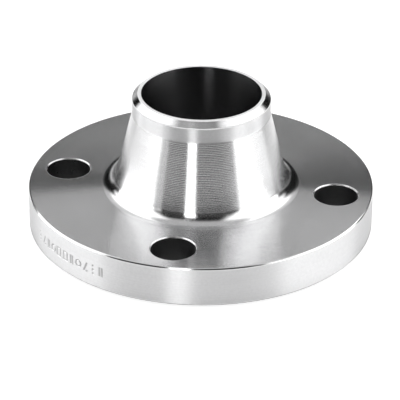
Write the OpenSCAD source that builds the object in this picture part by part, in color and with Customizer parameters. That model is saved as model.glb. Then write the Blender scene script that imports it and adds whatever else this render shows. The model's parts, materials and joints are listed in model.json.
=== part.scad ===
// Weld neck pipe flange, raised face, four bolt holes. One forging, so one node.
// Millimetres. +Z points along the bore to the weld end. The origin is on the bore's axis,
// on the plane of the raised face, so the part stands at z = 0 on its gasket face.
// The four bolt holes lie on +X, +Y, -X and -Y.

/* [Flange plate] */
// Outside diameter of the plate
flange_od = 152.4; // [146:0.1:165]
// Thickness of the plate, without the raised face
plate_t = 17.9; // [14:0.1:24]
// Radial width of the steep chamfer on the plate's edge, weld end side
rim_chamfer_w = 0.3; // [0.2:0.1:1.5]
// Height of the same chamfer, down the rim
rim_chamfer_h = 0.5; // [0.2:0.1:1.5]
// Radial width of the shallow break above it, on the plate's face
rim_break_w = 0.4; // [0.1:0.1:1]
// Height of the same break
rim_break_h = 0.2; // [0.1:0.1:1]
// Chamfer turned on the plate's edge, gasket side
back_chamfer = 0.5; // [0.2:0.1:1.5]

/* [Raised face] */
// Diameter of the raised gasket face
raised_d = 92.1; // [88:0.1:96]
// Height of the raised gasket face
raised_h = 1.6; // [1:0.1:3]
// Broken edge round the raised face and the bore's entry
edge_break = 0.4; // [0.1:0.1:0.8]

/* [Hub and weld end] */
// Length through the hub, from the raised face to the root face
total_h = 63.2; // [60:0.1:75]
// Diameter of the hub's cone where it would meet the plate
hub_base_d = 77.7; // [72:0.1:80]
// Radius of the fillet between the plate and the hub
hub_fillet_r = 6.5; // [3:0.1:7]
// Outside diameter of the weld end
weld_od = 60.3; // [59:0.1:62]
// Length of the straight land under the weld bevel
land_h = 6.7; // [1:0.1:8]
// Radial width of the flat root face
root_w = 1.4; // [0.8:0.1:2.2]
// Angle of the weld bevel, from the plane of the root face
bevel_a = 43; // [30:0.5:50]

/* [Bore] */
// Diameter of the straight bore
bore_d = 52.5; // [49:0.1:54]

/* [Bolt holes] */
// Diameter of the bolt circle
bolt_circle_d = 120.7; // [119:0.1:122]
// Number of bolt holes
bolt_count = 4; // [4:1:8]
// Diameter of a bolt hole
bolt_hole_d = 19.1; // [14:0.1:19.5]
// Chamfer at both ends of a bolt hole
bolt_chamfer = 0.45; // [0.3:0.05:1]

/* [Rim marks] */
// Depth of the stamped symbols on the rim
mark_depth = 0.3; // [0.1:0.05:0.6]
// Height of a stamped symbol
mark_h = 4.4; // [3:0.1:5]
// Width of a stamped stroke
mark_stroke = 0.6; // [0.4:0.1:0.8]
// Distance between symbols along the rim
mark_pitch = 4.15; // [3.8:0.05:4.5]
// Angle of the first symbol of the row, from +X
mark_start_a = -128; // [-130:0.5:-125]
// Angle of the first symbol of the row to its left, from +X
mark_second_a = -144; // [-160:0.5:-144]
// Height of the symbols' middle above the plate's gasket side
mark_mid_z = 8.4; // [6:0.1:10]

/* [Hidden] */
$fn = 128;
hole_fn = 64;
mark_fn = 32;
cut = 1;
flange_r = flange_od / 2;
raised_r = raised_d / 2;
weld_r = weld_od / 2;
bore_r = bore_d / 2;
root_r = bore_r + root_w;
plate_top = raised_h + plate_t;
bevel_z = total_h - (weld_r - root_r) * tan(bevel_a);
land_z = bevel_z - land_h;
// the cone's lean, and the fillet that touches both the cone and the plate
cone_a = atan((hub_base_d / 2 - weld_r) / (land_z - plate_top));
fillet_x = hub_base_d / 2 + hub_fillet_r * (1 - sin(cone_a)) / cos(cone_a);
fillet_z = plate_top + hub_fillet_r;
bolt_step = 360 / bolt_count;
mark_mid = raised_h + mark_mid_z;
mark_step = mark_pitch / flange_r * 180 / PI;
mark_half = mark_h / 2 - mark_stroke / 2;
steel = [0.72, 0.73, 0.74];

// the turned section with a square corner cut out at the fillet's centre
module section_blank()
  polygon([
    [bore_r + edge_break, 0],
    [raised_r - edge_break, 0],
    [raised_r, edge_break],
    [raised_r, raised_h],
    [flange_r - back_chamfer, raised_h],
    [flange_r, raised_h + back_chamfer],
    [flange_r, plate_top - rim_break_h - rim_chamfer_h],
    [flange_r - rim_chamfer_w, plate_top - rim_break_h],
    [flange_r - rim_chamfer_w - rim_break_w, plate_top],
    [fillet_x, plate_top],
    [fillet_x, fillet_z],
    [fillet_x - hub_fillet_r * cos(cone_a), fillet_z - hub_fillet_r * sin(cone_a)],
    [weld_r, land_z],
    [weld_r, bevel_z],
    [root_r, total_h],
    [bore_r, total_h],
    [bore_r, edge_break]
  ]);

module turned_body()
  rotate_extrude()
    difference() {
      section_blank();
      translate([fillet_x, fillet_z])
        circle(r = hub_fillet_r);
    }

module bolt_hole() {
  hole_r = bolt_hole_d / 2;
  translate([0, 0, raised_h - cut])
    cylinder(h = plate_t + 2 * cut, r = hole_r, $fn = hole_fn);
  translate([0, 0, plate_top - bolt_chamfer])
    cylinder(h = bolt_chamfer + cut, r1 = hole_r, r2 = hole_r + bolt_chamfer + cut, $fn = hole_fn);
  translate([0, 0, raised_h - cut])
    cylinder(h = bolt_chamfer + cut, r1 = hole_r + bolt_chamfer + cut, r2 = hole_r, $fn = hole_fn);
}

module bolt_holes()
  for (i = [0 : bolt_count - 1])
    rotate([0, 0, i * bolt_step])
      translate([bolt_circle_d / 2, 0, 0])
        bolt_hole();

// flat strokes of the stamped symbols, x along the rim and y up
module stroke(length, angle = 0, x = 0, y = 0)
  translate([x, y])
    rotate(angle)
      square([mark_stroke, length], center = true);

module punch(x = 0, y = 0)
  translate([x, y])
    circle(d = mark_stroke * 1.5, $fn = mark_fn);

module symbol_bars() {
  stroke(mark_h, 0, -mark_stroke);
  stroke(mark_h, 0, mark_stroke);
}

module symbol_ring()
  difference() {
    circle(d = mark_h * 0.8, $fn = mark_fn);
    circle(d = mark_h * 0.8 - 2 * mark_stroke, $fn = mark_fn);
  }

module symbol_dots() {
  punch(0, mark_half);
  punch(0, 0);
  punch(0, -mark_half);
}

module symbol_frame()
  difference() {
    square([mark_h * 0.7, mark_h], center = true);
    square([mark_h * 0.7 - 2 * mark_stroke, mark_h - 2 * mark_stroke], center = true);
  }

module symbol_slant() {
  stroke(mark_h, -24);
  punch(mark_stroke * 1.5, -mark_half);
}

module stamped_symbol(kind) {
  if (kind == 0) symbol_bars();
  if (kind == 1) symbol_ring();
  if (kind == 2) symbol_dots();
  if (kind == 3) symbol_frame();
  if (kind == 4) symbol_slant();
}

// a row of symbols, cut flat into the rim one after another
module mark_row(kinds, start_a)
  for (i = [0 : len(kinds) - 1])
    rotate([0, 0, start_a + i * mark_step])
      translate([flange_r - mark_depth, 0, mark_mid])
        rotate([90, 0, 90])
          linear_extrude(height = mark_depth + cut)
            stamped_symbol(kinds[i]);

// the whole part: turned section, bolt holes and stamped rim
module weld_neck_flange()
  color(steel)
    difference() {
      turned_body();
      bolt_holes();
      mark_row([3, 0, 1, 4, 2, 0], mark_start_a);
      mark_row([2, 4, 0, 1, 3], mark_second_a);
    }

weld_neck_flange();
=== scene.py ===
"""Looks of the weld neck pipe flange, in the CAD's own frame: metres, +Z up, gasket face at z = 0.

The flange is one dense closed mesh that stands for the CAD node. Profiles in radius and height are
turned round the axis, the plate's faces are left open round each bolt hole, and the holes are
joined in. The mesh adds what a lathe and a stamp leave on the real one: ridges on the hub, the
serrated gasket face, softened edges and symbols with pressed-in walls.
"""

import json
import math
from types import SimpleNamespace

import bpy
import numpy as np
from mathutils import Matrix, Vector

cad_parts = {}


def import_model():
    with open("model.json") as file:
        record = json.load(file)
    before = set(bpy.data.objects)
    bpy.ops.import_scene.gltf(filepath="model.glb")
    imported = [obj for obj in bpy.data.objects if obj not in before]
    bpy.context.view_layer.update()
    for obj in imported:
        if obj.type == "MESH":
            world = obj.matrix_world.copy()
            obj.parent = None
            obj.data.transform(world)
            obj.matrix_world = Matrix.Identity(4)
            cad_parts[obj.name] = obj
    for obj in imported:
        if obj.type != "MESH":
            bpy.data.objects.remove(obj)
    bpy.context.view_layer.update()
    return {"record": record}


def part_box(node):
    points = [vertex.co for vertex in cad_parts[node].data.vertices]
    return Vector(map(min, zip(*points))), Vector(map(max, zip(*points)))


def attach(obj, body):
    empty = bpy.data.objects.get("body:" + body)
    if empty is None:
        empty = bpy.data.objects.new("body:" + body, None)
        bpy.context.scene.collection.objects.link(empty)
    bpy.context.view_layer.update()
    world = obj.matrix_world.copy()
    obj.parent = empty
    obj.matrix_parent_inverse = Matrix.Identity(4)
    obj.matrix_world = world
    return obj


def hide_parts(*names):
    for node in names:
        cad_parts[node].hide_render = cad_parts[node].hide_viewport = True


NODE = "weld_neck_flange"
MM = 0.001
COLUMNS = 192  # steps round the axis
PATCH = 18  # columns taken by each bolt hole's patch
ROWS = 16  # radial steps across the plate's faces
FINE = 8  # finer columns inside each column that holds stamped symbols
STAMPED_ROWS = 27  # rings over the height of the stamped band

SOFT_TURNED = 0.12 * MM  # radius worn on the hub's edges
SOFT_BEVEL = 0.06 * MM  # the same where the land meets the bevel
SOFT_PLATE = 0.1 * MM  # the same on the rim and the bolt holes

RIDGE_PITCH, RIDGE_DEPTH = 0.75 * MM, 0.022 * MM  # left by the tool on the hub
SERRATION_PITCH, SERRATION_DEPTH = 0.8 * MM, 0.05 * MM  # cut into the gasket face
RIDGE_POINTS = 4  # points over one of either
PATCH_RINGS = (0.35, 0.7)  # rings inside a hole's patch: shares of the way in from its edge

# Symbols stamped into the rim, as part.scad has them: kinds, then the first one's angle from +X.
BARS, RING, DOTS, FRAME, SLANT = range(5)
STAMP_ROWS = [
    ((FRAME, BARS, RING, SLANT, DOTS, BARS), -128),
    ((DOTS, SLANT, BARS, RING, FRAME), -144),
]
STAMP_SPAN = (-148, -107)  # angles between which the rim has fine columns
STAMP_STROKE, STAMP_HEIGHT = 0.6, 4.4  # in mm
STAMP_LEAN = 24  # degrees that the slant leans
STAMP_WALL = 0.35  # width in mm of a stroke's sloping wall
STAMP_DEPTH = 0.3 * MM

STEEL = (0.66, 0.66, 0.665)
FEED = 7  # fine tool lines to one feed line
LONG_SIDE = 0.9  # share of a feed mark's pitch that its long side takes
CLOUD = 60.0  # blotches per metre along a surface
MOTTLE = 900.0  # specks per metre, the same in every direction

CAMERA_AZIMUTH = 10.93  # degrees from -Y towards +X
CAMERA_ELEVATION = 28.33
CAMERA_ROLL = -0.41
CAMERA_DISTANCE = 0.9641  # from the middle of the plate's top face
CAMERA_LENS = 195.85  # mm, on a sensor 36 mm wide
CAMERA_AIM = (-0.083, -1.685)  # how far right and up of that point it looks, in mm on the sensor

# Soft panels round the set: middle, width, low, high, light, blur to the sides, blur up and down.
# Azimuth is from the camera's side, plus to its right; angles are in degrees.
PANELS = [
    (-13.5, 13, -12, 36, 4.2, 1.5, 6),
    (-5, 90, -12, 34, 0.06, 12, 6),
    (81.5, 61, -12, 16, 4.0, 10, 6),
    (-93, 60, -12, 16, 3.8, 6, 6),
    (-57, 12, -12, 20, 0.9, 2, 6),
    (87, 86, 16, 30, 1.8, 8, 6),
    (-99, 72, 16, 30, 1.8, 6, 6),
    (95, 110, 30, 62, 2.0, 20, 8),
    (-105, 90, 30, 62, 2.0, 15, 8),
    (180, 80, 28.7, 62, 0.78, 20, 1.2),
    (-42, 46, 54, 63, 0.65, 12, 3),
    (-170, 54, -12, 6, 0.9, 10, 4),
    (0, 400, 63.2, 95, 0.66, 5, 2.5),
]

PAPER_RADIUS, PAPER_GAP = 8, 0.3 * MM  # metres; how far under the flange it lies
PAPER_GLOW = 0.9  # light that the paper gives the metal, a painted pool of light round the part
PAPER_POOL = (0.18, 0.32)  # where that light starts to fade and where it has gone, from the axis
PAPER_SHADE = 60 * MM  # how far out from the rim the painted shadow on that light reaches, as if the flange shaded it
PAPER_DIM = 0.2  # the share of that light which the painted shadow takes away at the rim
PAPER_WHITE = 0.9  # light that it gives the camera, on top of what falls on it
PAPER_REACH = (-2 * MM, 4 * MM)  # how far in under the plate its light reaches: metal, camera; for the metal it starts 2 mm past the rim, a painted shadow under the edge

FILLET, HUB, LAND, BEVEL, ROOT, PLATE, RIM, EDGE, BORE, HOLE, LIP, GASKET = range(12)


# ---------------------------------------------------------------- sizes


def flange_sizes(record):
    """Mounts and the CAD box give the fitting sizes, and part.scad's own values the rest."""
    mount = {m["name"]: m for m in record["mounts"]}
    low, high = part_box(NODE)
    s = SimpleNamespace()
    s.flange_r, s.top = high.x, high.z
    s.bore_r = mount["bore"]["dims"]["r_mm"] * MM
    s.circle_r = mount["bolt_circle"]["dims"]["pcd_mm"] * MM / 2
    s.hole_r = mount["bolt_circle"]["dims"]["hole_r_mm"] * MM
    s.holes = mount["bolt_circle"]["dims"]["count"]
    s.plate_lo = 1.6 * MM
    s.plate_hi = mount["nut_face"]["pos_m"][2]
    s.raised_r = 46.05 * MM
    s.edge_break = 0.4 * MM
    s.rim_chamfer_w, s.rim_chamfer_h = 0.3 * MM, 0.5 * MM
    s.rim_break_w, s.rim_break_h = 0.4 * MM, 0.2 * MM
    s.back_chamfer = 0.5 * MM
    s.hole_chamfer = 0.45 * MM
    s.weld_r, s.base_r = 30.15 * MM, 38.85 * MM
    s.root_w, s.land_h, s.bevel_a = 1.4 * MM, 6.7 * MM, math.radians(43)
    s.root_r = s.bore_r + s.root_w
    s.bevel_z = s.top - (s.weld_r - s.root_r) * math.tan(s.bevel_a)
    s.land_z = s.bevel_z - s.land_h
    s.fillet_r = 6.5 * MM
    s.cone_a = math.atan((s.base_r - s.weld_r) / (s.land_z - s.plate_hi))
    lean = (1 - math.sin(s.cone_a)) / math.cos(s.cone_a)
    s.fillet_x = s.base_r + s.fillet_r * lean
    s.fillet_z = s.plate_hi + s.fillet_r
    s.mark_mid_z, s.mark_pitch = 8.4 * MM, 4.15 * MM
    s.mark_z = s.plate_lo + s.mark_mid_z
    s.mark_step = s.mark_pitch / s.flange_r
    s.band_half = 3.2 * MM
    return s


# ---------------------------------------------------------------- turned profiles


def between(p, q, t):
    """The point a share t of the way from p to q."""
    return p[0] + (q[0] - p[0]) * t, p[1] + (q[1] - p[1]) * t


def line(p, q, steps=1):
    """Points from p to q in (radius, height), with the normal that points out of the metal."""
    p, q = np.array(p), np.array(q)
    t = np.linspace(0, 1, steps + 1)[:, None]
    along = (q - p) / np.linalg.norm(q - p)
    normal = np.array([along[1], -along[0]])
    return p + (q - p) * t, np.tile(normal, (steps + 1, 1))


def softened(corners, radii, steps=3):
    """A run of straight cuts whose corners are worn to a small radius, one for all or one each."""
    points, normals = [np.array(corners[0])], []
    corners = [np.array(c) for c in corners]
    radii = np.broadcast_to(radii, len(corners) - 2)
    for before, corner, after, radius in zip(corners, corners[1:], corners[2:], radii):
        a = (corner - before) / np.linalg.norm(corner - before)
        b = (after - corner) / np.linalg.norm(after - corner)
        na, nb = np.array([a[1], -a[0]]), np.array([b[1], -b[0]])
        turn = math.acos(np.clip(a @ b, -1, 1))
        reach = radius * math.tan(turn / 2)
        if not normals:
            normals.append(na)
        start, side = corner - a * reach, np.sign(a[0] * b[1] - a[1] * b[0])
        centre = start - na * side * radius
        for t in np.linspace(0, 1, steps + 1):
            n = na * math.sin((1 - t) * turn) + nb * math.sin(t * turn)
            n /= np.linalg.norm(n)
            points.append(centre + n * side * radius)
            normals.append(n)
    points.append(corners[-1])
    normals.append(normals[-1])
    return np.array(points), np.array(normals)


def grooved(p, q, pitch, depth, seed, fade=1.5):
    """A cut from p to q with the ridges that a round nosed tool leaves, each a little different.

    They fade out over as many pitches at each end as fade says.
    """
    rng = np.random.default_rng(seed)
    length = np.linalg.norm(np.subtract(q, p))
    ridges = int(length / pitch)
    points, normals = line(p, q, ridges * RIDGE_POINTS)
    along = (np.array(q) - p) / length
    s = np.linspace(0, length, len(points))
    size = np.repeat(rng.uniform(0.6, 1.3, ridges), RIDGE_POINTS)
    size = np.append(size, size[-1])
    ends = np.clip(np.minimum(s, length - s) / (pitch * fade), 0, 1)
    phase = 2 * math.pi * np.arange(len(points)) / RIDGE_POINTS
    height = -depth * size * ends * (1 - np.cos(phase)) / 2
    slope = -depth * size * ends * np.sin(phase) * math.pi / pitch
    turned = normals - along * slope[:, None]
    return points + normals * height[:, None], turned / np.linalg.norm(turned, axis=1)[:, None]


def arc(centre, radius, start, end, steps):
    """A concave fillet about centre; start and end are angles in the section's plane."""
    a = np.linspace(start, end, steps + 1)
    out = np.stack([np.cos(a), np.sin(a)], 1)
    return np.array(centre) + radius * out, -out


def hub_profile(s):
    """From the plate's top face up the hub, over the weld end, down the bore, out to the back."""
    soft, fillet = SOFT_TURNED, (s.fillet_x, s.fillet_z)
    on_cone = (fillet[0] - s.fillet_r * math.cos(s.cone_a), fillet[1] - s.fillet_r * math.sin(s.cone_a))
    land_lo, bevel_lo, root_out = (s.weld_r, s.land_z), (s.weld_r, s.bevel_z), (s.root_r, s.top)
    cone_hi = between(land_lo, (s.base_r, s.plate_hi), 0.01)
    land_hi = (s.weld_r, s.bevel_z - 0.6 * MM)
    near_root = between(root_out, bevel_lo, 0.2 * MM / (s.weld_r - s.root_r))
    bore_hi, bore_lo = (s.bore_r, s.top - 0.2 * MM), (s.bore_r, 1.5 * MM)
    entry = [(s.bore_r, s.edge_break), (s.bore_r + s.edge_break, 0)]
    gasket_in, gasket_out = (s.bore_r + 1 * MM, 0), (s.raised_r - 1 * MM, 0)
    step = [(s.raised_r - s.edge_break, 0), (s.raised_r, s.edge_break), (s.raised_r, s.plate_lo)]
    on_back = (s.raised_r + 0.6 * MM, s.plate_lo)
    return [
        (FILLET, arc(fillet, s.fillet_r, -math.pi / 2, s.cone_a - math.pi, 20)),
        (HUB, grooved(on_cone, cone_hi, RIDGE_PITCH, RIDGE_DEPTH, seed=3)),
        (LAND, softened([cone_hi, land_lo, land_hi], soft)),
        (BEVEL, softened([land_hi, bevel_lo, near_root], SOFT_BEVEL)),
        (ROOT, softened([near_root, root_out, (s.bore_r, s.top), bore_hi], soft)),
        (BORE, line(bore_hi, bore_lo, 8)),
        (BORE, softened([bore_lo, *entry, gasket_in], soft)),
        (GASKET, grooved(gasket_in, gasket_out, SERRATION_PITCH, SERRATION_DEPTH, seed=5)),
        (GASKET, softened([gasket_out, *step, on_back], soft)),
    ]


def rim_profiles(s, band_lo, band_hi):
    """From the plate's back round its edge to the top face, below and above the stamped band."""
    r, hi, lo, flat, straight = s.flange_r, s.plate_hi, s.plate_lo, 0.5 * MM, 0.3 * MM
    break_out = (r - s.rim_chamfer_w, hi - s.rim_break_h)
    break_in = (break_out[0] - s.rim_break_w, hi)
    break_mid = between(break_out, break_in, 0.5)
    chamfer_lo = (r, break_out[1] - s.rim_chamfer_h)
    back_in, back_out = (r - s.back_chamfer, lo), (r, lo + s.back_chamfer)
    join_lo, join_hi = (r, back_out[1] + straight), (r, chamfer_lo[1] - straight)
    back = softened([(back_in[0] - flat, lo), back_in, back_out, join_lo], SOFT_PLATE)
    top = softened([join_hi, chamfer_lo, break_out, break_mid], SOFT_PLATE)
    face = softened([break_mid, break_in, (break_in[0] - flat, hi)], SOFT_PLATE)
    below = [(EDGE, back), (RIM, line(join_lo, (r, band_lo)))]
    above = [(RIM, line((r, band_hi), join_hi)), (EDGE, top), (PLATE, face)]
    return below, above


def hole_profile(s):
    """A bolt hole from the top face down to the back, about the hole's own axis."""
    r, wide, flat, hi, lo = s.hole_r, s.hole_r + s.hole_chamfer, 0.3 * MM, s.plate_hi, s.plate_lo
    wall_hi, wall_lo = hi - s.hole_chamfer, lo + s.hole_chamfer
    on_wall_hi, on_wall_lo = (r, wall_hi - flat), (r, wall_lo + flat)
    top = softened([(wide + flat, hi), (wide, hi), (r, wall_hi), on_wall_hi], SOFT_PLATE)
    back = softened([on_wall_lo, (r, wall_lo), (wide, lo), (wide + flat, lo)], SOFT_PLATE)
    return [(LIP, top), (HOLE, line(on_wall_hi, on_wall_lo, 4)), (LIP, back)]


# ---------------------------------------------------------------- stamped symbols


def box_distance(x, y, w, h):
    """How far a point is outside a box about the origin; less than 0 inside it."""
    dx, dy = np.abs(x) - w / 2, np.abs(y) - h / 2
    return np.hypot(np.maximum(dx, 0), np.maximum(dy, 0)) + np.minimum(np.maximum(dx, dy), 0)


def symbol_distance(kind, x, y):
    """How far, in mm, a point is outside a symbol's strokes; less than 0 inside them."""
    w, h = STAMP_STROKE, STAMP_HEIGHT
    dot, tip = w * 0.75, h / 2 - w / 2
    if kind == BARS:
        return np.minimum(box_distance(x - w, y, w, h), box_distance(x + w, y, w, h))
    if kind == RING:
        return np.abs(np.hypot(x, y) - (h * 0.4 - w / 2)) - w / 2
    if kind == DOTS:
        return np.min([np.hypot(x, y - dy) for dy in (-tip, 0, tip)], axis=0) - dot
    if kind == FRAME:
        return np.abs(box_distance(x, y, h * 0.7 - w, h - w)) - w / 2
    a = math.radians(STAMP_LEAN)
    bar = box_distance(x * math.cos(a) - y * math.sin(a), x * math.sin(a) + y * math.cos(a), w, h)
    return np.minimum(bar, np.hypot(x - w * 1.5, y + tip) - dot)


def stamp_depth(s, angle, z):
    """Depth of the stamped symbols, 0 to 1, over the rim."""
    depth = np.zeros(np.broadcast(angle, z).shape)
    for kinds, first in STAMP_ROWS:
        for i, kind in enumerate(kinds):
            middle = math.radians(first) + i * s.mark_step
            x = (angle - middle) * s.flange_r / MM
            y = (z - s.mark_z) / MM
            d = symbol_distance(kind, x, y)
            depth = np.maximum(depth, np.clip(0.5 - d / STAMP_WALL, 0, 1))
    return depth * depth * (3 - 2 * depth)


# ---------------------------------------------------------------- the mesh


class Metal:
    """Collects points with their normals, and faces with their finish."""

    def __init__(self):
        self.points, self.normals, self.faces, self.finish, self.stamp = [], [], [], [], []

    def add(self, points, normals, stamp=None):
        first = sum(map(len, self.points))
        self.points.append(np.asarray(points, float))
        self.normals.append(np.asarray(normals, float))
        self.stamp.append(np.zeros(len(points)) if stamp is None else stamp)
        return first + np.arange(len(points))

    def face(self, finish, *corners):
        self.faces.append(corners)
        self.finish.append(finish)

    def strip(self, finish, a, b):
        """Quads between two rings of the same count, closed round."""
        for i in range(len(a)):
            j = (i + 1) % len(a)
            self.face(finish, a[i], a[j], b[j], b[i])


def ring(metal, angles, radius, height, normal, centre=(0, 0)):
    """One ring of points; normal is in (radius, height)."""
    c, n = np.array(centre), len(angles)
    ca, sa = np.cos(angles), np.sin(angles)
    points = np.stack([c[0] + radius * ca, c[1] + radius * sa, np.full(n, height)], 1)
    normals = np.stack([normal[0] * ca, normal[0] * sa, np.full(n, normal[1])], 1)
    return metal.add(points, normals)


def turn(metal, runs, angles, centre=(0, 0)):
    """Sweeps the runs of a profile round an axis and returns the first and last rings."""
    first = last = None
    for finish, (points, normals) in runs:
        for k, (p, n) in enumerate(zip(points, normals)):
            if last is not None and k == 0:
                continue
            now = ring(metal, angles, p[0], p[1], n, centre)
            if last is not None:
                metal.strip(finish, last, now)
            first, last = now if first is None else first, now
    return first, last


def pair_up(metal, finish, coarse, fine, ratio):
    """Joins a ring to a ring that has ratio[i] steps for each step of the first."""
    at = 0
    for i, n in enumerate(ratio):
        a, b = coarse[i], coarse[(i + 1) % len(coarse)]
        f = [fine[(at + k) % len(fine)] for k in range(n + 1)]
        half = n // 2
        for k in range(n):
            metal.face(finish, a if k < half or n == 1 else b, f[k + 1], f[k])
        metal.face(finish, a, b, f[half] if n > 1 else f[1])
        at += n


def stamped_band(metal, s, below, above, angles, lo, hi):
    """The rim's middle, with columns fine enough to press the symbols into."""
    start, end = map(math.radians, STAMP_SPAN)
    ratio = [FINE if start < a < end else 1 for a in angles]
    step = 2 * math.pi / COLUMNS
    band = np.array([a + step * k / n for a, n in zip(angles, ratio) for k in range(n)])
    ca, sa = np.cos(band), np.sin(band)
    margin, tiny = 0.3 * MM, 0.02 * MM
    aside, slope = tiny / s.flange_r, STAMP_DEPTH / (2 * tiny)
    rows = []
    for z in np.linspace(lo + margin, hi - margin, STAMPED_ROWS):
        d = stamp_depth(s, band, z)
        round_slope = (stamp_depth(s, band + aside, z) - stamp_depth(s, band - aside, z)) * slope
        up_slope = (stamp_depth(s, band, z + tiny) - stamp_depth(s, band, z - tiny)) * slope
        r = s.flange_r - STAMP_DEPTH * d
        n = np.stack([ca - sa * round_slope, sa + ca * round_slope, up_slope], 1)
        n /= np.linalg.norm(n, axis=1)[:, None]
        rows.append(metal.add(np.stack([r * ca, r * sa, np.full(len(r), z)], 1), n, d))
    for a, b in zip(rows, rows[1:]):
        metal.strip(RIM, a, b)
    pair_up(metal, RIM, below, rows[0], ratio)
    pair_up(metal, RIM, above, rows[-1], ratio)


def plate_face(metal, s, inner, outer, angles, r_in, r_out, z, up):
    """A flat face between two rings, left open round each bolt hole; returns the openings' loops."""
    rows = [inner]
    for r in np.linspace(r_in, r_out, ROWS + 1)[1:-1]:
        rows.append(ring(metal, angles, r, z, (0, up)))
    rows.append(outer)
    loops, skipped = [], set()
    for h in range(s.holes):
        mid = round(COLUMNS * h / s.holes)
        cols = [(mid - PATCH // 2 + k) % COLUMNS for k in range(PATCH + 1)]
        skipped.update(cols[:-1])
        loop = [rows[0][c] for c in cols] + [rows[k][cols[-1]] for k in range(1, ROWS + 1)]
        loop += [rows[-1][c] for c in reversed(cols[:-1])]
        loop += [rows[k][cols[0]] for k in range(ROWS - 1, 0, -1)]
        loops.append(loop)
    for a, b in zip(rows, rows[1:]):
        for c in range(COLUMNS):
            if c not in skipped:
                d = (c + 1) % COLUMNS
                metal.face(PLATE, a[c], a[d], b[d], b[c])
    return loops


def bolt_hole(metal, s, h, loop_hi, loop_lo):
    """A hole's wall and chamfers, joined to the plate's two faces round it."""
    turn_by = 2 * math.pi * h / s.holes
    centre = np.array([math.cos(turn_by), math.sin(turn_by)]) * s.circle_r
    known = np.concatenate(metal.points)
    around = known[loop_hi][:, :2] - centre
    angles = np.arctan2(around[:, 1], around[:, 0])
    first, last = turn(metal, hole_profile(s), angles, centre)
    known = np.concatenate(metal.points)
    for loop, edge, up in ((loop_hi, first, 1), (loop_lo, last, -1)):
        outer = loop
        for t in PATCH_RINGS:
            points = known[loop] * (1 - t) + known[edge] * t
            inner = metal.add(points, np.tile([0, 0, up], (len(points), 1)))
            metal.strip(PLATE, outer, inner)
            outer = inner
        metal.strip(PLATE, outer, edge)


def end_radius(run, k):
    """The radius of a run's first point, with k = 0, or of its last, with k = -1."""
    points = run[1][0]
    return points[k][0]


def build_flange(s):
    """The whole forging as one closed mesh."""
    metal = Metal()
    angles = 2 * math.pi * np.arange(COLUMNS) / COLUMNS
    angles = (angles + math.pi) % (2 * math.pi) - math.pi
    band_lo, band_hi = s.mark_z - s.band_half, s.mark_z + s.band_half
    hub = hub_profile(s)
    hub_first, hub_last = turn(metal, hub, angles)
    below, above = rim_profiles(s, band_lo, band_hi)
    back_edge, band_start = turn(metal, below, angles)
    band_end, top_edge = turn(metal, above, angles)
    stamped_band(metal, s, band_start, band_end, angles, band_lo, band_hi)
    top_out, back_in, back_out = end_radius(above[-1], -1), end_radius(hub[-1], -1), end_radius(below[0], 0)
    tops = plate_face(metal, s, hub_first, top_edge, angles, s.fillet_x, top_out, s.plate_hi, 1)
    backs = plate_face(metal, s, hub_last, back_edge, angles, back_in, back_out, s.plate_lo, -1)
    for h in range(s.holes):
        bolt_hole(metal, s, h, tops[h], backs[h])
    return metal


def to_object(name, metal, materials):
    """A Blender object with the profile's own normals, every face turned outwards."""
    points, normals = np.concatenate(metal.points), np.concatenate(metal.normals)
    faces = []
    for f in metal.faces:
        p = points[list(f)]
        side = np.cross(p[1] - p[0], p[2] - p[0]) + np.cross(p[2] - p[0], p[-1] - p[0])
        out = normals[list(f)].sum(0)
        faces.append(f if side @ out >= 0 else f[::-1])
    mesh = bpy.data.meshes.new(name)
    mesh.from_pydata(points.tolist(), [], [tuple(map(int, f)) for f in faces])
    for m in materials:
        mesh.materials.append(m)
    mesh.polygons.foreach_set("material_index", metal.finish)
    mesh.polygons.foreach_set("use_smooth", [True] * len(faces))
    mesh.attributes.new("stamp", "FLOAT", "POINT").data.foreach_set("value", np.concatenate(metal.stamp))
    mesh.update()
    mesh.normals_split_custom_set_from_vertices(normals.tolist())
    obj = bpy.data.objects.new(name, mesh)
    bpy.context.scene.collection.objects.link(obj)
    return obj


# ---------------------------------------------------------------- finishes


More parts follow.
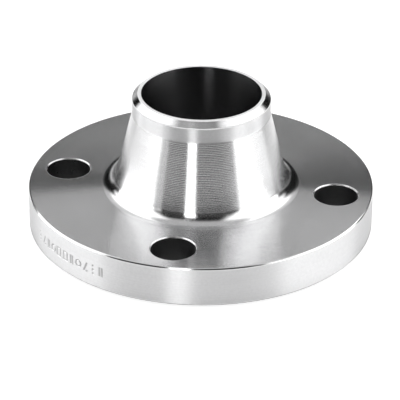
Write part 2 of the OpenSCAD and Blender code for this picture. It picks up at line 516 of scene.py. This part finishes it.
class Nodes:
    """A few short calls for wiring a material."""

    def __init__(self, name):
        self.mat = bpy.data.materials.new(name)
        self.mat.use_nodes = True
        self.tree = self.mat.node_tree
        self.bsdf = self.tree.nodes["Principled BSDF"]

    def new(self, kind, **inputs):
        """A node with its inputs set or linked, by name, or by number as i0, i1 and so on."""
        node = self.tree.nodes.new(kind)
        for key, value in inputs.items():
            self.plug(node, key, value)
        return node

    def plug(self, node, key, value):
        numbered = key[0] == "i" and key[1:].isdigit()
        socket = node.inputs[int(key[1:]) if numbered else key.replace("_", " ")]
        if hasattr(value, "is_linked"):
            self.tree.links.new(value, socket)
        else:
            socket.default_value = value

    def math(self, operation, a, b=0.0):
        node = self.new("ShaderNodeMath", i0=a, i1=b)
        node.operation = operation
        return node.outputs[0]

    def place(self):
        """x, y, z of the point in the part's frame."""
        coords = self.new("ShaderNodeTexCoord")
        return self.new("ShaderNodeSeparateXYZ", Vector=coords.outputs["Object"]).outputs

    def polar(self):
        """Radius, angle and height of the point in the part's frame."""
        x, y, z = self.place()
        square = self.math("ADD", self.math("MULTIPLY", x, x), self.math("MULTIPLY", y, y))
        return self.math("SQRT", square), self.math("ARCTAN2", y, x), z

    def noise(self, along, scale, around, scale_around, detail=2.0, lift=0.0):
        """Noise stretched round the axis, as a lathe tool leaves it. lift keeps two of them apart."""
        x = self.math("MULTIPLY", along, scale)
        y = self.math("MULTIPLY", self.math("SINE", around), scale_around)
        z = self.math("ADD", self.math("MULTIPLY", self.math("COSINE", around), scale_around), lift)
        vector = self.new("ShaderNodeCombineXYZ", X=x, Y=y, Z=z)
        node = self.new("ShaderNodeTexNoise", Vector=vector.outputs[0], Scale=1.0, Detail=detail)
        return node.outputs["Fac"]

    def mottle(self, scale):
        """Fine even grain, the same in every direction."""
        place = self.new("ShaderNodeTexCoord").outputs["Object"]
        node = self.new("ShaderNodeTexNoise", Vector=place, Scale=scale, Detail=4.0)
        return node.outputs["Fac"]

    def blend(self, *parts):
        """The sum of some values, each with its share."""
        total = 0.0
        for value, share in parts:
            total = self.math("ADD", total, self.math("MULTIPLY", value, share))
        return total

    def spread(self, value, low, high):
        """Maps the middle of a noise to a range."""
        node = self.new("ShaderNodeMapRange", i0=value, i1=0.3, i2=0.7, i3=low, i4=high)
        return node.outputs[0]


def turned_steel(name, along, fine, groove, roughness, grain, tint=STEEL, tooth=None, waver=0.6):
    """Steel with tool lines round the axis. along is radius or height: what the lines step along.

    fine is in lines per metre and groove is their depth. grain is how far the lines smear a
    reflection, and waver is how much a line changes on its way round. tooth is the depth and pitch
    of the feed marks, whose long side falls away outwards.
    """
    m = Nodes(name)
    radius, angle, z = m.polar()
    step = radius if along == "radius" else z
    lines = m.noise(step, fine, angle, waver, 3.0)
    feed = m.noise(step, fine / FEED, angle, waver / 2, 2.0, 5.0)
    cloud = m.noise(step, CLOUD, angle, 1.5, 3.0, 11.0)
    mottle = m.mottle(MOTTLE)
    tone = m.spread(m.blend((lines, 0.35), (cloud, 0.3), (mottle, 0.35)), 0.88, 1.08)
    colour = m.new("ShaderNodeCombineColor")
    for channel, value in zip(("Red", "Green", "Blue"), tint):
        m.plug(colour, channel, m.math("MULTIPLY", tone, value))
    wear = m.blend((feed, 0.3), (cloud, 0.3), (mottle, 0.4))
    rough = m.spread(wear, roughness * 0.85, roughness * 1.15)
    height = m.math("MULTIPLY", m.blend((lines, 0.6), (feed, 0.4)), groove)
    if tooth:
        height = m.math("ADD", height, feed_marks(m, step, *tooth))
    bump = m.new("ShaderNodeBump", Strength=1.0, Distance=1.0, Height=height)
    tangent = m.new("ShaderNodeTangent")
    tangent.direction_type, tangent.axis = "RADIAL", "Z"
    m.plug(m.bsdf, "Base_Color", colour.outputs[0])
    m.plug(m.bsdf, "Roughness", rough)
    m.plug(m.bsdf, "Normal", bump.outputs[0])
    m.plug(m.bsdf, "Tangent", tangent.outputs[0])
    m.bsdf.inputs["Metallic"].default_value = 1.0
    m.bsdf.inputs["Anisotropic"].default_value = grain
    m.bsdf.inputs["Anisotropic Rotation"].default_value = 0.25
    return m


def feed_marks(m, step, depth, pitch):
    """Height of a saw tooth along step: a long fall and then a steep rise."""
    along = m.math("FRACT", m.math("DIVIDE", step, pitch))
    fall = m.math("SUBTRACT", 1.0, m.math("DIVIDE", along, LONG_SIDE))
    rise = m.math("MULTIPLY", m.math("SUBTRACT", along, LONG_SIDE), 1 / (1 - LONG_SIDE))
    return m.math("MULTIPLY", m.math("MAXIMUM", fall, rise), depth)


def fillet_steel():
    return turned_steel("fillet_steel", "height", 9000.0, 0.004 * MM, 0.165, 0.95).mat


def hub_steel():
    return turned_steel("hub_turned_steel", "height", 9000.0, 0.006 * MM, 0.2, 1.0).mat


def land_steel():
    return turned_steel("land_steel", "height", 14000.0, 0.0025 * MM, 0.33, 1.0).mat


def bevel_steel():
    return turned_steel("bevel_steel", "height", 14000.0, 0.0025 * MM, 0.17, 1.0).mat


def root_steel():
    tint = (0.88, 0.88, 0.885)
    return turned_steel("sawn_root_steel", "height", 9000.0, 0.002 * MM, 0.68, 0.0, tint).mat


def plate_steel():
    tooth = (0.01 * MM, 0.2 * MM)
    name = "plate_faced_steel"
    return turned_steel(name, "radius", 11000.0, 0.003 * MM, 0.145, 1.0, tooth=tooth).mat


def rim_steel():
    """The rim, with darker metal down in the stamped symbols."""
    m = turned_steel("rim_turned_steel", "height", 9000.0, 0.003 * MM, 0.34, 0.97)
    stamp = m.new("ShaderNodeAttribute")
    stamp.attribute_name = "stamp"
    base = m.bsdf.inputs["Base Color"].links[0].from_socket
    mix = m.new("ShaderNodeMix")
    mix.data_type = "RGBA"
    m.tree.links.new(stamp.outputs["Fac"], mix.inputs["Factor"])
    m.tree.links.new(base, mix.inputs["A"])
    mix.inputs["B"].default_value = (0.42, 0.42, 0.42, 1)
    m.plug(m.bsdf, "Base_Color", mix.outputs["Result"])
    return m.mat


def edge_steel():
    return turned_steel("chamfered_edge_steel", "height", 9000.0, 0.002 * MM, 0.12, 0.0).mat


def bore_steel():
    # painted shade: this tint is far darker than the rest of the steel and stands in for the shade down the
    # bore
    tint = (0.26, 0.26, 0.265)
    name = "bore_steel"
    return turned_steel(name, "height", 5000.0, 0.0006 * MM, 0.22, 0.95, tint, waver=0.02).mat


def hole_painted_shade_steel():
    # painted shade: this tint is far darker than the rest of the steel and stands in for the shade inside
    # the bolt holes
    tint = (0.3, 0.3, 0.305)
    return turned_steel("drilled_steel", "height", 4000.0, 0.005 * MM, 0.3, 0.0, tint).mat


def lip_steel():
    return turned_steel("countersunk_steel", "height", 9000.0, 0.002 * MM, 0.26, 0.0).mat


def gasket_steel():
    return turned_steel("serrated_steel", "radius", 9000.0, 0.003 * MM, 0.27, 0.9).mat


# ---------------------------------------------------------------- studio


def floor(flange_r):
    """Pale paper just under the flange. It glows, as if overexposed: white to the camera everywhere
    outside the plate, and to the metal as a painted pool of light round the part that fades outwards,
    with a painted shadow near the rim and none of that glow under the plate.
    """
    below = (0, 0, -PAPER_GAP)
    bpy.ops.mesh.primitive_circle_add(vertices=96, radius=PAPER_RADIUS, fill_type="NGON", location=below)
    obj = bpy.context.object
    obj.name = "floor"
    m = Nodes("floor_paper")
    radius = m.polar()[0]
    grain = m.new("ShaderNodeTexNoise", Scale=40.0, Detail=4.0)
    m.plug(m.bsdf, "Roughness", m.spread(grain.outputs["Fac"], 0.85, 0.95))
    m.bsdf.inputs["Base Color"].default_value = (0.4, 0.4, 0.4, 1)
    m.bsdf.inputs["Specular IOR Level"].default_value = 0.1
    m.bsdf.inputs["Emission Color"].default_value = (1, 1, 1, 1)
    path = m.new("ShaderNodeLightPath")
    start, end = PAPER_POOL
    pool = m.math("SUBTRACT", 1.0, soft_step(m, radius, (start + end) / 2, end - start))
    # painted shadow: the glow for the metal is dimmed near the rim, as if the flange shaded it
    near = m.math("SUBTRACT", 1.0, soft_step(m, radius, flange_r + PAPER_SHADE / 2, PAPER_SHADE))
    pool = m.math("MULTIPLY", pool, m.math("SUBTRACT", 1.0, m.math("MULTIPLY", near, PAPER_DIM)))
    # painted shadow: for the metal the glow starts just past the rim, so none lies under the plate; for the
    # camera it starts a little in under the plate
    lit = [m.math("GREATER_THAN", radius, flange_r - reach) for reach in PAPER_REACH]
    for_metal = m.math("MULTIPLY", m.math("MULTIPLY", pool, PAPER_GLOW), lit[0])
    for_camera = m.math("MULTIPLY", lit[1], PAPER_WHITE)
    glow = m.new("ShaderNodeMix", Factor=path.outputs["Is Camera Ray"], A=for_metal, B=for_camera)
    m.plug(m.bsdf, "Emission_Strength", glow.outputs[0])
    obj.data.materials.append(m.mat)


def soft_step(m, value, edge, blur):
    """0 below edge and 1 above it, blurred over blur."""
    node = m.new("ShaderNodeMapRange", i0=value, i1=edge - blur / 2, i2=edge + blur / 2, i3=0.0, i4=1.0)
    node.interpolation_type = "SMOOTHSTEP"
    return node.outputs[0]


def panel(m, azimuth, height, middle, width, low, high, light, blur_side, blur_up):
    """The light of one soft panel. Angles are in degrees, azimuth from the camera's side."""
    deg = math.radians
    away = m.math("SUBTRACT", azimuth, deg(middle))
    wrapped = m.new("ShaderNodeMath", i0=away, i1=math.pi, i2=-math.pi)
    wrapped.operation = "WRAP"
    side = m.math("SUBTRACT", 0.0, m.math("ABSOLUTE", wrapped.outputs[0]))
    across = soft_step(m, side, -deg(width) / 2, deg(blur_side))
    above = soft_step(m, height, deg(low), deg(blur_up))
    below = m.math("SUBTRACT", 1.0, soft_step(m, height, deg(high), deg(blur_up)))
    return m.math("MULTIPLY", m.math("MULTIPLY", across, m.math("MULTIPLY", above, below)), light)


class WorldNodes(Nodes):
    """The same short calls for the world."""

    def __init__(self, name):
        self.world = bpy.data.worlds.new(name)
        self.world.use_nodes = True
        self.tree = self.world.node_tree


def studio(panels):
    """A room of soft panels, seen only in the metal; the camera itself sees a white backdrop."""
    m = WorldNodes("studio")
    bpy.context.scene.world = m.world
    coords = m.new("ShaderNodeTexCoord")
    x, y, z = m.new("ShaderNodeSeparateXYZ", Vector=coords.outputs["Generated"]).outputs
    turned = m.math("ARCTAN2", x, m.math("MULTIPLY", y, -1.0))
    azimuth = m.math("SUBTRACT", turned, math.radians(CAMERA_AZIMUTH))
    height = m.math("ARCSINE", z)
    total = 0.0
    for p in panels:
        total = m.math("ADD", total, panel(m, azimuth, height, *p))
    path = m.new("ShaderNodeLightPath")
    seen = m.new("ShaderNodeMix", Factor=path.outputs["Is Camera Ray"], A=total, B=1.0)
    m.plug(m.tree.nodes["Background"], "Strength", seen.outputs[0])
    m.tree.nodes["Background"].inputs["Color"].default_value = (1, 1, 1, 1)


def camera(s):
    """The photograph's view: a long lens, 28 degrees above the floor, 11 degrees to the right."""
    azimuth, elevation, roll = map(math.radians, (CAMERA_AZIMUTH, CAMERA_ELEVATION, CAMERA_ROLL))
    flat = math.cos(elevation)
    back = Vector((math.sin(azimuth) * flat, -math.cos(azimuth) * flat, math.sin(elevation)))
    right = Vector((math.cos(azimuth), math.sin(azimuth), 0))
    up = back.cross(right)
    right, up = (
        right * math.cos(roll) - up * math.sin(roll),
        right * math.sin(roll) + up * math.cos(roll),
    )
    data = bpy.data.cameras.new("camera")
    data.lens, data.sensor_width = CAMERA_LENS, 36.0
    data.clip_start, data.clip_end = 0.05, 50
    z = (back * CAMERA_LENS - right * CAMERA_AIM[0] - up * CAMERA_AIM[1]).normalized()
    x = (right - z * right.dot(z)).normalized()
    y = z.cross(x)
    place = Vector((0, 0, s.plate_hi)) + back * CAMERA_DISTANCE
    obj = bpy.data.objects.new("camera", data)
    obj.matrix_world = Matrix.Translation(place) @ Matrix((x, y, z)).transposed().to_4x4()
    bpy.context.scene.collection.objects.link(obj)
    bpy.context.scene.camera = obj


def main():
    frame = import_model()
    s = flange_sizes(frame["record"])
    finishes = [fillet_steel(), hub_steel(), land_steel(), bevel_steel(), root_steel(), plate_steel()]
    finishes += [rim_steel(), edge_steel(), bore_steel(), hole_painted_shade_steel(), lip_steel(), gasket_steel()]
    flange = to_object("flange_forging", build_flange(s), finishes)
    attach(flange, "root")
    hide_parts(NODE)
    floor(s.flange_r)
    studio(PANELS)
    camera(s)
    bpy.context.scene.view_settings.view_transform = "Standard"


main()
